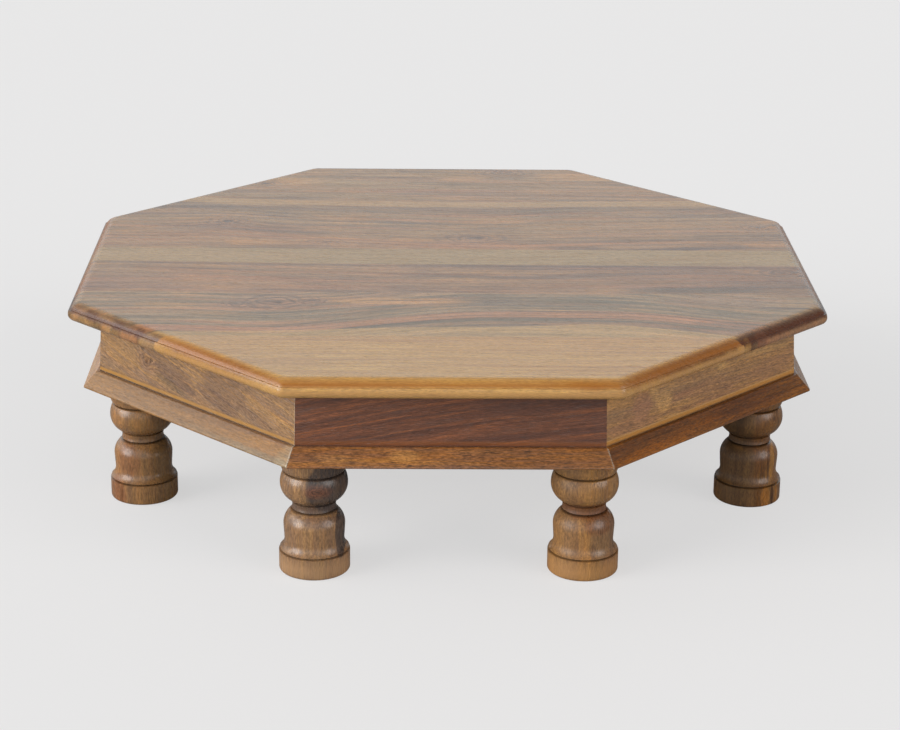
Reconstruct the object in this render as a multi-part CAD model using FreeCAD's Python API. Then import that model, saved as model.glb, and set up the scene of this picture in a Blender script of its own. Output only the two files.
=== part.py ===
import FreeCAD, Part
import math
import os

# A low eight-sided table: a glued board top with a moulded edge, eight mitred aprons,
# eight mitred base mouldings and eight turned legs socketed in corner blocks.
# Millimetres, Z up, front towards -Y, origin on the floor under the middle of the top.

# Overall plan: a regular octagon with one flat side to the front
across_flats = 600.0
side_count = 8
front_azimuth = -90.0

# Top board, glued up from planks that run left to right
top_thickness = 14.0
plank_width_shares = (0.167, 0.180, 0.200, 0.255, 0.198)

# Edge of the top: a round-over above, a small step, a bead below
round_over_width = 8.5
round_over_height = 5.6
round_over_inset = 2.0
bead_top_inset = 0.9
bead_nose_drop = 4.0
bead_foot_inset = 2.8
top_corner_sanding = 1.3

# Aprons, with a small cove worked along the foot
apron_height = 45.0
apron_thickness = 15.0
apron_setback = 25.0
apron_cove_height = 4.0
apron_cove_width = 2.4

# Base moulding: a flat ledge, a straight slope and a blunt lip
moulding_height = 13.0
moulding_ledge = 2.6
moulding_slope_width = 10.2
moulding_lip = 1.6

# Turned leg, named from the floor up
leg_height = 98.0
foot_radius = 27.0
foot_height = 16.2
foot_arris = 2.2
rim_radius = 26.4
cove_height = 7.9
waist_radius = 22.7
belly_radius = 23.4
belly_rise = 11.6
shoulder_height = 11.6
shoulder_radius = 17.7
neck_radius = 16.9
neck_hollow = 0.5
neck_height = 4.8
ball_foot_radius = 17.2
ball_lower_height = 13.5
ball_radius = 25.7
ball_upper_height = 9.2
ball_top_radius = 23.5
collar_foot_radius = 23.7
collar_round_height = 5.4
collar_radius = 25.3
groove_width = 1.7
groove_depth = 1.4
tenon_radius = 9.5
tenon_length = 24.0
tenon_chamfer = 1.5
leg_inset = 14.7

# Corner blocks, standing on the legs and reaching up to the top
block_width = 80.0
block_depth = 64.0
block_arris = 3.0

# Cross batten under the planks
batten_width = 70.0
batten_thickness = 15.0
batten_arris = 2.0

# Countersunk wood screws
screw_head_radius = 4.0
screw_head_height = 2.6
screw_shank_radius = 2.0
screw_tip_height = 3.0
block_screw_length = 40.0
block_screw_set_in = 12.0
block_bore_radius = 5.5
batten_screw_length = 24.0
batten_screw_spacing = 40.0
screw_bite = 10.0

# Brads: two through each apron into the blocks, two up through each moulding
brad_radius = 0.9
apron_brad_length = 28.0
apron_brad_set_in = 14.0
apron_brad_height_shares = (0.36, 0.60)
moulding_brad_length = 30.0
moulding_brad_spacing = 100.0
filler_radius = 1.5
filler_depth = 1.0

# Clearances, and the overrun of cutting shapes
glue_gap = 0.1
batten_end_gap = 0.3
overrun = 2.0

# Worked out from the sizes above
side_turn = 360.0 / side_count
mitre = math.radians(side_turn / 2)
half_width = across_flats / 2
moulding_top = leg_height + moulding_height
apron_top = moulding_top + apron_height
table_top = apron_top + top_thickness
apron_face = half_width - apron_setback
apron_inner = apron_face - apron_thickness
inner_corner = apron_inner / math.cos(mitre)
leg_place = inner_corner - leg_inset
block_height = apron_top - leg_height
block_screw_place = inner_corner - block_depth + block_screw_set_in

side_names = (
    "front", "front_right", "right", "back_right",
    "back", "back_left", "left", "front_left",
)
corner_names = (
    "front_right", "right_front", "right_back", "back_right",
    "back_left", "left_back", "left_front", "front_left",
)

upright = FreeCAD.Vector(0, 0, 1)
outward = FreeCAD.Vector(1, 0, 0)
centre = FreeCAD.Vector(0, 0, 0)


# Drawing helpers: outlines lie in the XZ plane, x outwards and z up

def spot(x, z):
    return FreeCAD.Vector(x, 0, z)


def line(start, end):
    return Part.LineSegment(start, end).toShape()


def run(points):
    return [line(a, b) for a, b in zip(points, points[1:])]


def bend(start, end, leave):
    # Arc that leaves start along the unit vector leave and stops at end
    chord = end - start
    inward = chord - leave * chord.dot(leave)
    inward.normalize()
    radius = chord.dot(chord) / (2 * chord.dot(inward))
    middle = start + inward * radius
    halfway = (start - middle) + (end - middle)
    halfway.normalize()
    return Part.Arc(start, middle + halfway * radius, end).toShape()


def groove(lower, upper):
    bottom = min(lower.x, upper.x) - groove_depth
    return run([lower, spot(bottom, (lower.z + upper.z) / 2), upper])


def filled(edges):
    return Part.Face(Part.Wire(Part.__sortEdges__(edges)))


def turned(edges):
    # Solid of revolution about the Z axis
    return filled(edges).revolve(centre, upright, 360)


def bar(edges, length):
    # A bar of the outlined section that lies along Y, with its middle at y = 0
    return moved(filled(edges).extrude(FreeCAD.Vector(0, length, 0)), 0, -length / 2, 0)


def spun(shape, degrees):
    copy = shape.copy()
    copy.rotate(centre, upright, degrees)
    return copy


def moved(shape, x, y, z):
    copy = shape.copy()
    copy.translate(FreeCAD.Vector(x, y, z))
    return copy


def side_azimuth(index):
    return front_azimuth + index * side_turn


def corner_azimuth(index):
    return side_azimuth(index) + side_turn / 2


def mitred(edges):
    # A length of moulding facing +X, cut to the two mitre planes
    reach = across_flats * math.tan(mitre)
    sector = Part.makePolygon([
        centre,
        FreeCAD.Vector(across_flats, -reach, 0),
        FreeCAD.Vector(across_flats, reach, 0),
        centre,
    ])
    wedge = Part.Face(sector).extrude(upright * table_top)
    return bar(edges, across_flats).common(wedge)


# Top

def top_outline(nose, back):
    # Section of the top from the line x = back out to a moulded edge at x = nose
    brow = spot(nose - round_over_inset - round_over_width, table_top)
    step = spot(nose - round_over_inset, table_top - round_over_height)
    bead_top = spot(nose - bead_top_inset, step.z)
    bead_nose = spot(nose, step.z - bead_nose_drop)
    bead_foot = spot(nose - bead_foot_inset, apron_top)
    edges = [bend(brow, step, outward)]
    edges += [line(step, bead_top)]
    edges += [bend(bead_nose, bead_top, upright)]
    edges += [bend(bead_nose, bead_foot, upright * -1)]
    edges += run([bead_foot, spot(back, apron_top), spot(back, table_top), brow])
    return edges


def top_board():
    # The octagon is what is left where eight moulded cuts cross; a turned shape
    # with the same edge, a little inside the corners, stands for their sanding
    slab = bar(top_outline(half_width, -across_flats), across_flats)
    corner_nose = half_width / math.cos(mitre) - top_corner_sanding
    board = turned(top_outline(corner_nose, 0))
    for index in range(side_count):
        board = board.common(spun(slab, side_azimuth(index)))
    return board


def plank_joints():
    joints = [-half_width]
    for share in plank_width_shares:
        joints.append(joints[-1] + share * across_flats)
    joints[0] -= overrun
    joints[-1] = half_width + overrun
    return joints


def planks(holes):
    board = top_board().cut(holes)
    joints = plank_joints()
    for index, (near, far) in enumerate(zip(joints, joints[1:])):
        saw = Part.makeBox(across_flats, far - near, table_top)
        saw = moved(saw, -half_width, near, 0)
        save("top_plank_%d" % (index + 1), board.common(saw))


# Frame

def apron_outline():
    cove_top = spot(apron_face, moulding_top + apron_cove_height)
    foot = spot(apron_face + apron_cove_width, moulding_top)
    edges = [bend(cove_top, foot, upright * -1)]
    edges += run([
        foot,
        spot(apron_inner, moulding_top),
        spot(apron_inner, apron_top),
        spot(apron_face, apron_top),
        cove_top,
    ])
    return edges


def moulding_outline():
    ledge = apron_face + apron_cove_width + moulding_ledge
    tip = ledge + moulding_slope_width
    return run([
        spot(apron_inner, leg_height),
        spot(tip, leg_height),
        spot(tip, leg_height + moulding_lip),
        spot(ledge, moulding_top),
        spot(apron_inner, moulding_top),
        spot(apron_inner, leg_height),
    ])


def aprons(brads, fillers):
    blank = mitred(apron_outline())
    for index, name in enumerate(side_names):
        piece = spun(blank, side_azimuth(index))
        save("apron_" + name, piece.cut(brads).cut(fillers))


def mouldings(brads):
    blank = mitred(moulding_outline())
    for index, name in enumerate(side_names):
        save("base_moulding_" + name, spun(blank, side_azimuth(index)).cut(brads))


# Legs

def leg():
    rim_z = foot_height + groove_width
    waist_z = rim_z + cove_height
    belly_z = waist_z + belly_rise
    shoulder_z = belly_z + shoulder_height
    neck_foot_z = shoulder_z + groove_width
    neck_top_z = neck_foot_z + neck_height
    ball_foot_z = neck_top_z + groove_width
    ball_z = ball_foot_z + ball_lower_height
    ball_top_z = ball_z + ball_upper_height
    collar_foot_z = ball_top_z + groove_width
    collar_z = collar_foot_z + collar_round_height

    foot_edge = spot(foot_radius, foot_arris)
    foot_top = spot(foot_radius, foot_height)
    rim = spot(rim_radius, rim_z)
    waist = spot(waist_radius, waist_z)
    belly = spot(belly_radius, belly_z)
    shoulder = spot(shoulder_radius, shoulder_z)
    neck_foot = spot(neck_radius, neck_foot_z)
    neck_middle = spot(neck_radius - neck_hollow, (neck_foot_z + neck_top_z) / 2)
    neck_top = spot(neck_radius, neck_top_z)
    ball_foot = spot(ball_foot_radius, ball_foot_z)
    ball = spot(ball_radius, ball_z)
    ball_top = spot(ball_top_radius, ball_top_z)
    collar_foot = spot(collar_foot_radius, collar_foot_z)
    collar = spot(collar_radius, collar_z)

    down = upright * -1
    edges = run([centre, spot(foot_radius - foot_arris, 0)])
    edges += [bend(foot_edge, spot(foot_radius - foot_arris, 0), down)]
    edges += [line(foot_edge, foot_top)]
    edges += groove(foot_top, rim)
    edges += [bend(waist, rim, down)]
    edges += [line(waist, belly)]
    edges += [bend(belly, shoulder, upright)]
    edges += groove(shoulder, neck_foot)
    edges += [Part.Arc(neck_foot, neck_middle, neck_top).toShape()]
    edges += groove(neck_top, ball_foot)
    edges += [bend(ball, ball_foot, down)]
    edges += [bend(ball, ball_top, upright)]
    edges += groove(ball_top, collar_foot)
    edges += [bend(collar, collar_foot, down)]
    edges += run([
        collar,
        spot(collar_radius, leg_height),
        spot(tenon_radius, leg_height),
        spot(tenon_radius, leg_height + tenon_length - tenon_chamfer),
        spot(tenon_radius - tenon_chamfer, leg_height + tenon_length),
        spot(0, leg_height + tenon_length),
        centre,
    ])
    return turned(edges)


def legs():
    blank = moved(leg(), leg_place, 0, 0)
    for index, name in enumerate(corner_names):
        save("leg_" + name, spun(blank, corner_azimuth(index)))


# Corner blocks

def block():
    # Plan with its point in the corner of the aprons, which lies along +X
    half = block_width / 2
    back = inner_corner - block_depth
    cheek = inner_corner - half * math.tan(mitre)
    plan = Part.makePolygon([
        FreeCAD.Vector(inner_corner, 0, leg_height),
        FreeCAD.Vector(cheek, half, leg_height),
        FreeCAD.Vector(back + block_arris, half, leg_height),
        FreeCAD.Vector(back, half - block_arris, leg_height),
        FreeCAD.Vector(back, block_arris - half, leg_height),
        FreeCAD.Vector(back + block_arris, -half, leg_height),
        FreeCAD.Vector(cheek, -half, leg_height),
        FreeCAD.Vector(inner_corner, 0, leg_height),
    ])
    body = Part.Face(plan).extrude(upright * block_height)
    socket = Part.makeCylinder(tenon_radius + glue_gap, tenon_length + glue_gap)
    body = body.cut(moved(socket, leg_place, 0, leg_height))
    bore_height = block_height + screw_bite - block_screw_length
    bore = Part.makeCylinder(block_bore_radius, bore_height + overrun)
    return body.cut(moved(bore, block_screw_place, 0, leg_height - overrun))


def blocks(holes, brads):
    blank = block()
    for index, name in enumerate(corner_names):
        piece = spun(blank, corner_azimuth(index))
        save("corner_block_" + name, piece.cut(holes).cut(brads))


# Batten

def batten(holes):
    half = batten_width / 2
    low = apron_top - batten_thickness
    outline = run([
        spot(-half, apron_top),
        spot(-half, low + batten_arris),
        spot(batten_arris - half, low),
        spot(half - batten_arris, low),
        spot(half, low + batten_arris),
        spot(half, apron_top),
        spot(-half, apron_top),
    ])
    length = 2 * (apron_inner - batten_end_gap)
    save("cross_batten", bar(outline, length).cut(holes))


# Screws and brads

def screw(length, play):
    # Head downwards at z = 0, point upwards; play widens it into its own hole
    shank_top = length - screw_tip_height
    return turned(run([
        centre,
        spot(screw_head_radius + play, 0),
        spot(screw_shank_radius + play, screw_head_height),
        spot(screw_shank_radius + play, shank_top + play),
        spot(0, length + play),
        centre,
    ]))


def block_screws(play):
    z = apron_top + screw_bite - block_screw_length
    one = moved(screw(block_screw_length, play), block_screw_place, 0, z)
    return [spun(one, corner_azimuth(index)) for index in range(side_count)]


def batten_screws(play):
    one = screw(batten_screw_length, play)
    z = apron_top - batten_thickness
    group = []
    joints = plank_joints()
    for near, far in zip(joints, joints[1:]):
        y = (max(near, -apron_inner) + min(far, apron_inner)) / 2
        for x in (-batten_screw_spacing / 2, batten_screw_spacing / 2):
            group.append(moved(one, x, y, z))
    return group


def level_pin(radius, length, nose):
    # A pin lying along -X whose outer end is at x = nose
    pin = Part.makeCylinder(radius, length, centre, outward)
    return moved(pin, nose - length, 0, 0)


def apron_pins(pin):
    # Copies of a level pin at both ends of every apron. Both pins at a corner are
    # at one height, which alternates from corner to corner, the same left and right
    end = apron_face * math.tan(mitre) - apron_brad_set_in
    group = []
    for corner in range(side_count):
        steps_back = min(corner, side_count - 1 - corner)
        share = apron_brad_height_shares[steps_back % len(apron_brad_height_shares)]
        z = moulding_top + share * apron_height
        group.append(spun(moved(pin, 0, end, z), side_azimuth(corner)))
        group.append(spun(moved(pin, 0, -end, z), side_azimuth(corner + 1)))
    return group


def apron_brads(play):
    nose = apron_face - filler_depth
    return apron_pins(level_pin(brad_radius + play, apron_brad_length, nose))


def apron_fillers():
    return apron_pins(level_pin(filler_radius, filler_depth, apron_face))


def moulding_brads(play):
    place = (apron_inner + apron_face) / 2
    pin = Part.makeCylinder(brad_radius + play, moulding_brad_length)
    half = moulding_brad_spacing / 2
    group = []
    for index in range(side_count):
        for y in (-half, half):
            group.append(spun(moved(pin, place, y, leg_height), side_azimuth(index)))
    return group


def save(name, shape):
    shape.exportStep("parts/%s.step" % name)


os.makedirs("parts", exist_ok=True)

block_screw_holes = Part.makeCompound(block_screws(glue_gap))
batten_screw_holes = Part.makeCompound(batten_screws(glue_gap))
screw_holes = Part.makeCompound([block_screw_holes, batten_screw_holes])
apron_brad_holes = Part.makeCompound(apron_brads(glue_gap))
moulding_brad_holes = Part.makeCompound(moulding_brads(glue_gap))
apron_holes = Part.makeCompound([apron_brad_holes, moulding_brad_holes])

planks(screw_holes)
aprons(apron_holes, Part.makeCompound(apron_fillers()))
mouldings(moulding_brad_holes)
legs()
blocks(block_screw_holes, apron_brad_holes)
batten(batten_screw_holes)
save("block_screws", Part.makeCompound(block_screws(0)))
save("batten_screws", Part.makeCompound(batten_screws(0)))
save("apron_brads", Part.makeCompound(apron_brads(0)))
save("moulding_brads", Part.makeCompound(moulding_brads(0)))
save("brad_hole_fillers", Part.makeCompound(apron_fillers()))
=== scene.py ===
import math

import bmesh
import bpy
from mathutils import Matrix, Quaternion, Vector


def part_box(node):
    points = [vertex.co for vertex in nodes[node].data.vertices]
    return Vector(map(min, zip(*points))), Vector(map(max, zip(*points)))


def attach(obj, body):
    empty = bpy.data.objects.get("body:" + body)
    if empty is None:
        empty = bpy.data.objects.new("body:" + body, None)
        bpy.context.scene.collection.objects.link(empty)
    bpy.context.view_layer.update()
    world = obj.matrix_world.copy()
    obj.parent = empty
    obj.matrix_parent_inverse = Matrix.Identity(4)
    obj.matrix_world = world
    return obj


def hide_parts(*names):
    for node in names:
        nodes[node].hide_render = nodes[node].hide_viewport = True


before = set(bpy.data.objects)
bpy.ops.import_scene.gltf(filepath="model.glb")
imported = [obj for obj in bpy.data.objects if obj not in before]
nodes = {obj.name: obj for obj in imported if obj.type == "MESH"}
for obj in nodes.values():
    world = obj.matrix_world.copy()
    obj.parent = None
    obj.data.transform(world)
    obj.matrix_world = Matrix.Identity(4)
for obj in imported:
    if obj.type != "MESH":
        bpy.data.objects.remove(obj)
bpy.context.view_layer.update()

# Metres, z up; the table stands on z = 0 about the z axis and its front faces -y
print("frame loaded,", len(nodes), "nodes")

sideNames = ("front", "front_right", "right", "back_right", "back", "back_left", "left", "front_left")
cornerNames = ("front_right", "right_front", "right_back", "back_right",
               "back_left", "left_back", "left_front", "front_left")
sideTurn = math.radians(45)
mitre = sideTurn / 2
down, up, out = Vector((0, -1)), Vector((0, 1)), Vector((1, 0))


# Small helpers for node trees

def feed(tree, node, inputs):
    # Link each socket, or set it where the value is a plain number or colour
    for name, value in inputs.items():
        if isinstance(value, bpy.types.NodeSocket):
            tree.links.new(value, node.inputs[name])
        else:
            node.inputs[name].default_value = value


def put(tree, kind, inputs=None, **settings):
    node = tree.nodes.new("ShaderNode" + kind)
    for name, value in settings.items():
        setattr(node, name, value)
    feed(tree, node, inputs or {})
    return node


def sums(tree, operation, a, b=0.0, c=0.0):
    return put(tree, "Math", {0: a, 1: b, 2: c}, operation=operation).outputs[0]


def aboutZero(tree, value):
    # Noise swings about a half; this swings about nothing
    return sums(tree, "SUBTRACT", value, 0.5)


def ramp(tree, value, low, high, toLow=0.0, toHigh=1.0):
    # Smooth step from toLow to toHigh as value goes from low to high
    inputs = {"Value": value, "From Min": low, "From Max": high, "To Min": toLow, "To Max": toHigh}
    return put(tree, "MapRange", inputs, interpolation_type="SMOOTHSTEP").outputs[0]


seedShifts = (7.31, 3.17, 5.83)


def noise(tree, along, across, depth, seed, scales, detail=2.0, roughness=0.5):
    # Noise stretched along the grain; scales are features per metre on the three axes
    parts = []
    for value, scale, shift in zip((along, across, depth), scales, seedShifts):
        moved = sums(tree, "MULTIPLY", seed, shift)
        parts.append(sums(tree, "MULTIPLY_ADD", value, scale, moved))
    vector = put(tree, "CombineXYZ", {"X": parts[0], "Y": parts[1], "Z": parts[2]})
    texture = put(tree, "TexNoise", {
        "Vector": vector.outputs[0], "Scale": 1.0, "Detail": detail, "Roughness": roughness})
    return texture.outputs[0]


def blendColour(tree, share, below, above, mode="MIX"):
    # Sockets 0, 6 and 7 are the factor and the two colours of a colour mix, output 2 its colour
    return put(tree, "Mix", {0: share, 6: below, 7: above}, data_type="RGBA", blend_type=mode).outputs[2]


def newGroup(name, inputs, outputs):
    # Every socket of the wood groups is a plain number
    tree = bpy.data.node_groups.new(name, "ShaderNodeTree")
    for side, labels in (("INPUT", inputs), ("OUTPUT", outputs)):
        for label in labels:
            tree.interface.new_socket(label, in_out=side, socket_type="NodeSocketFloat")
    return tree, tree.nodes.new("NodeGroupInput").outputs, tree.nodes.new("NodeGroupOutput").inputs


def place(tree, group, inputs):
    node = tree.nodes.new("ShaderNodeGroup")
    node.node_tree = group
    feed(tree, node, inputs)
    return node.outputs


# Shared node groups of the wood

# Each kind of streak: seed shift, features per metre along, across and into the wood, noise detail
# and roughness, then where the noise starts to show and where it is full
streakKinds = {
    "Broad": (0.0, (1.5, 22.0, 16.0), 2.0, 0.5, 0.32, 0.68),
    "Red": (3.3, (5.5, 105.0, 60.0), 4.0, 0.62, 0.46, 0.66),
    "Dark": (6.1, (4.5, 95.0, 50.0), 5.0, 0.66, 0.48, 0.66),
    "Fine": (8.7, (16.0, 460.0, 300.0), 3.0, 0.65, 0.35, 0.65),
    "Pore": (0.0, (110.0, 1300.0, 1100.0), 1.0, 0.5, 0.62, 0.72),
    "Fleck": (4.9, (300.0, 1000.0, 1000.0), 2.0, 0.7, 0.30, 0.70),
    "Hatch": (5.7, (130.0, 360.0, 300.0), 3.0, 0.7, 0.38, 0.62),
    "Warm": (2.3, (18.0, 58.0, 40.0), 4.0, 0.6, 0.52, 0.70),
}
growth = {"broadPull": 3.5, "darkPull": 1.6, "depthLines": 40.0, "rise": (0.30, 0.90), "fall": (1.0, 0.92),
          "cool": (0.48, 0.30)}


def makeStreaks():
    # Streaks of sheesham at several widths, growth lines and open pores
    tree, given, told = newGroup("sheeshamStreaks", ("Along", "Across", "Depth", "Seed", "Lines"),
                                 tuple(streakKinds) + ("Line", "Cool"))
    spot = [given["Along"], given["Across"], given["Depth"]]
    raw = {}
    for name, (shift, scales, detail, roughness, low, high) in streakKinds.items():
        raw[name] = noise(tree, *spot, sums(tree, "ADD", given["Seed"], shift), scales, detail, roughness)
        tree.links.new(ramp(tree, raw[name], low, high), told[name])
    tree.links.new(ramp(tree, raw["Warm"], *growth["cool"]), told["Cool"])
    drift = sums(tree, "MULTIPLY_ADD", raw["Broad"], growth["broadPull"],
                 sums(tree, "MULTIPLY", raw["Dark"], growth["darkPull"]))
    rise = sums(tree, "MULTIPLY_ADD", given["Across"], given["Lines"], drift)
    rise = sums(tree, "MULTIPLY_ADD", given["Depth"], growth["depthLines"], rise)
    saw = sums(tree, "FRACT", rise)
    late = sums(tree, "MULTIPLY", ramp(tree, saw, *growth["rise"]), ramp(tree, saw, *growth["fall"]))
    tree.links.new(late, told["Line"])
    return tree


def makeSwell():
    # A long swell of the grain: how far it lifts the lines at this place
    tree, given, told = newGroup("grainSwell", ("Along", "Place", "Reach", "Rise"), ("Lift",))
    far = sums(tree, "DIVIDE", sums(tree, "SUBTRACT", given["Along"], given["Place"]), given["Reach"])
    bell = sums(tree, "EXPONENT", sums(tree, "MULTIPLY", sums(tree, "MULTIPLY", far, far), -1.0))
    tree.links.new(sums(tree, "MULTIPLY", bell, given["Rise"]), told["Lift"])
    return tree


def ovalReach(tree, given):
    # Steps along and across from the middle of an oval, in its half sizes, and their squares' sum
    dx = sums(tree, "DIVIDE", sums(tree, "SUBTRACT", given["Along"], given["Place"]), given["Length"])
    dy = sums(tree, "DIVIDE", sums(tree, "SUBTRACT", given["Across"], given["Level"]), given["Width"])
    return dx, dy, sums(tree, "MULTIPLY_ADD", dx, dx, sums(tree, "MULTIPLY", dy, dy))


knotShape = {
    "blunt": 0.03, "stir": 1.0, "stirSeed": 90.0, "stirScales": (1.1, 1.1, 1.0), "stirDetail": 3.0,
    "stirRoughness": 0.55, "heart": (0.48, 0.20), "halo": (2.2, 0.6), "rings": 13.0, "ringFull": 0.95,
}


def makeKnot():
    # A knot lifts the growth lines into closed, uneven rings and has a dark heart
    k = knotShape
    tree, given, told = newGroup(
        "knotRings", ("Along", "Across", "Place", "Level", "Length", "Width", "Rise"),
        ("Lift", "Heart", "Halo", "Ring"))
    dx, dy, square = ovalReach(tree, given)
    reach = sums(tree, "SQRT", sums(tree, "ADD", square, k["blunt"]))
    stir = noise(tree, dx, dy, 0.0, sums(tree, "MULTIPLY", given["Place"], k["stirSeed"]),
                 k["stirScales"], k["stirDetail"], k["stirRoughness"])
    reach = sums(tree, "MULTIPLY_ADD", aboutZero(tree, stir), k["stir"], reach)
    cone = sums(tree, "EXPONENT", sums(tree, "MULTIPLY", reach, -1.0))
    tree.links.new(sums(tree, "MULTIPLY", cone, given["Rise"]), told["Lift"])
    tree.links.new(ramp(tree, reach, *k["heart"]), told["Heart"])
    fade = ramp(tree, reach, *k["halo"])
    tree.links.new(fade, told["Halo"])
    wave = ramp(tree, sums(tree, "SINE", sums(tree, "MULTIPLY", reach, k["rings"])), 0.0, k["ringFull"])
    tree.links.new(sums(tree, "MULTIPLY", wave, fade), told["Ring"])
    return tree


markShape = {"bandSway": (7.0, 1.0, 1.0), "bandDetail": 3.0, "patchRagged": 3.0, "fillerFull": 0.6}


def makeBand():
    # A band that follows the grain: 1 inside, 0 outside, with a wandering edge
    tree, given, told = newGroup(
        "grainBand", ("Along", "Across", "Seed", "Low", "High", "Soft", "Wander"), ("Band",))
    sway = noise(tree, given["Along"], 0.0, 0.0, given["Seed"], markShape["bandSway"],
                 markShape["bandDetail"])
    sway = sums(tree, "MULTIPLY", aboutZero(tree, sway), given["Wander"])
    level = sums(tree, "ADD", given["Across"], sway)
    rise = ramp(tree, level, given["Low"], sums(tree, "ADD", given["Low"], given["Soft"]))
    fall = ramp(tree, level, given["High"], sums(tree, "SUBTRACT", given["High"], given["Soft"]))
    tree.links.new(sums(tree, "MULTIPLY", rise, fall), told["Band"])
    return tree


def makePatch():
    # A cloudy oval patch lying along the grain
    tree, given, told = newGroup(
        "grainPatch", ("Along", "Across", "Wobble", "Place", "Level", "Length", "Width", "Soft"),
        ("Patch",))
    reach = sums(tree, "SQRT", ovalReach(tree, given)[2])
    ragged = sums(tree, "MULTIPLY", given["Soft"], markShape["patchRagged"])
    reach = sums(tree, "MULTIPLY_ADD", given["Wobble"], ragged, reach)
    outer, inner = sums(tree, "ADD", given["Soft"], 1.0), sums(tree, "SUBTRACT", 1.0, given["Soft"])
    tree.links.new(ramp(tree, reach, outer, inner), told["Patch"])
    return tree


def makeHeightLine():
    # Stain gathered in a line, or worn from one, at a given height; also used for painted shade in creases
    # and a painted highlight on coves
    tree, given, told = newGroup("heightLine", ("Height", "Level", "Width"), ("Stain",))
    far = sums(tree, "ABSOLUTE", sums(tree, "SUBTRACT", given["Height"], given["Level"]))
    tree.links.new(ramp(tree, far, given["Width"], 0.0), told["Stain"])
    return tree


def makeFiller():
    # Pale filler pressed into the mitres at both ends of a piece that faces the front
    tree, given, told = newGroup("mitreFiller", ("X", "Y", "Wobble", "Left", "Right"), ("Filler",))
    edge = sums(tree, "MULTIPLY", given["Y"], -math.tan(mitre))
    masks = []
    for way, width in ((1.0, given["Left"]), (-1.0, given["Right"])):
        gap = sums(tree, "MULTIPLY_ADD", given["X"], way, edge)
        gap = sums(tree, "MULTIPLY_ADD", given["Wobble"], width, gap)
        masks.append(ramp(tree, gap, width, sums(tree, "MULTIPLY", width, markShape["fillerFull"])))
    tree.links.new(sums(tree, "MAXIMUM", *masks), told["Filler"])
    return tree


streaks, grainSwell, knotRings, mitreFiller = makeStreaks(), makeSwell(), makeKnot(), makeFiller()
grainBand, grainPatch, heightLine = makeBand(), makePatch(), makeHeightLine()
print("wood node groups ready")

# Palette of the table, linear colours
palette = {
    "heart": (0.360, 0.185, 0.085, 1),
    "olive": (0.330, 0.190, 0.090, 1),
    "plum": (0.300, 0.145, 0.085, 1),
    "grey": (0.235, 0.140, 0.090, 1),
    "dark": (0.135, 0.075, 0.055, 1),
    "deep": (0.065, 0.026, 0.016, 1),
    "wine": (0.170, 0.060, 0.026, 1),
    "red": (0.460, 0.165, 0.065, 1),
    "orange": (0.560, 0.270, 0.090, 1),
    "gold": (0.450, 0.225, 0.065, 1),
    "pale": (0.520, 0.300, 0.110, 1),
    "tan": (0.380, 0.200, 0.080, 1),
    "sap": (0.420, 0.245, 0.095, 1),
    "amber": (0.330, 0.130, 0.022, 1),
    "honey": (0.460, 0.205, 0.033, 1),
    "rust": (0.240, 0.088, 0.045, 1),
    "brick": (0.235, 0.078, 0.026, 1),
    "slate": (0.062, 0.045, 0.040, 1),
    "umber": (0.098, 0.040, 0.014, 1),
    "dusk": (0.098, 0.062, 0.030, 1),
    "toffee": (0.260, 0.085, 0.010, 1),
    "garnet": (0.075, 0.018, 0.004, 1),
    "straw": (0.350, 0.220, 0.105, 1),
    "cream": (0.400, 0.238, 0.118, 1),
    "cork": (0.480, 0.265, 0.130, 1),
    "black": (0.025, 0.015, 0.012, 1),
    "ash": (0.300, 0.215, 0.150, 1),
    "sand": (0.390, 0.205, 0.100, 1),
    "filler": (0.520, 0.430, 0.330, 1),
}

# What a piece's look holds unless it says otherwise. The lists of marks give, in this order:
# swells: along, reach, rise; knots: along, across, length, width, rise
# bands: low, high, soft edge, wander, tint, share, swells of their own
# patches and edges: along, across, length, width, tint, share; edges then on the band, on the bead
# lines at a height (stain, and also painted shade and painted highlight): height, half width, tint, share;
# dull: along, across, length, width, added roughness
# Some looks add crowd (lines that much closer), hatch (short cross marks) and filler (widths left, right)
commonLook = {
    "tone": (1, 1, 1), "centre": (0, 0, 0), "slant": 0.0, "tilt": 0.25, "wobble": 0.0016,
    "wander": 0.008, "lines": 90.0, "warm": 0.0, "warmTint": "orange", "cool": 0.0, "coolTint": "grey",
    "red": 0.3, "redTint": "red", "dark": 0.4, "darkTint": "dark", "line": 0.25, "fine": 0.2,
    "pores": 0.35, "flecks": 0.2, "soft": 0.45, "roughness": 0.24, "knotShares": (0.30, 0.60, 0.75),
    "knotTints": ("plum", "umber", "umber"), "swells": (), "knots": (), "bands": (), "patches": (),
    "edges": (), "heightLines": (), "dull": (),
}

woodHabit = {
    "swayScales": (3.0, 5.0, 5.0), "wobbleScales": (40.0, 110.0, 110.0), "wobbleDetail": 3.0,
    "wobbleRoughness": 0.6, "knotRagged": 0.9, "bandSeedStep": 1.7, "bandGrain": -0.25, "patchGrain": -0.30,
    "lineGrain": 0.35, "lineEven": 0.80, "fillerGrain": 0.5, "fillerEven": 0.2, "seedStep": 1.9,
}
lacquer = {
    "specular": 0.5, "fineRoughness": 0.08, "dullSoft": 0.4,
    "poreHeight": -1.0, "fleckHeight": 0.35, "depth": 0.0001, "strength": 0.6,
}
# Heights between which the marks of the top's edge fade in at the rim, and pass from bead to band
edgeFade = {"rim": (0.1698, 0.1675), "band": (0.1605, 0.1640), "onBand": 1.0, "onBead": 0.3}


def followSwells(tree, along, level, swells):
    # level with long swells of the grain taken out, so that lines follow them
    for spot, reach, rise in swells:
        lift = place(tree, grainSwell, {"Along": along, "Place": spot, "Reach": reach, "Rise": rise})
        level = sums(tree, "SUBTRACT", level, lift["Lift"])
    return level


def patchMask(tree, along, across, wobble, spot, height, length, width, soft):
    return place(tree, grainPatch, {
        "Along": along, "Across": across, "Wobble": wobble, "Place": spot, "Level": height,
        "Length": length, "Width": width, "Soft": soft})["Patch"]


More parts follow.
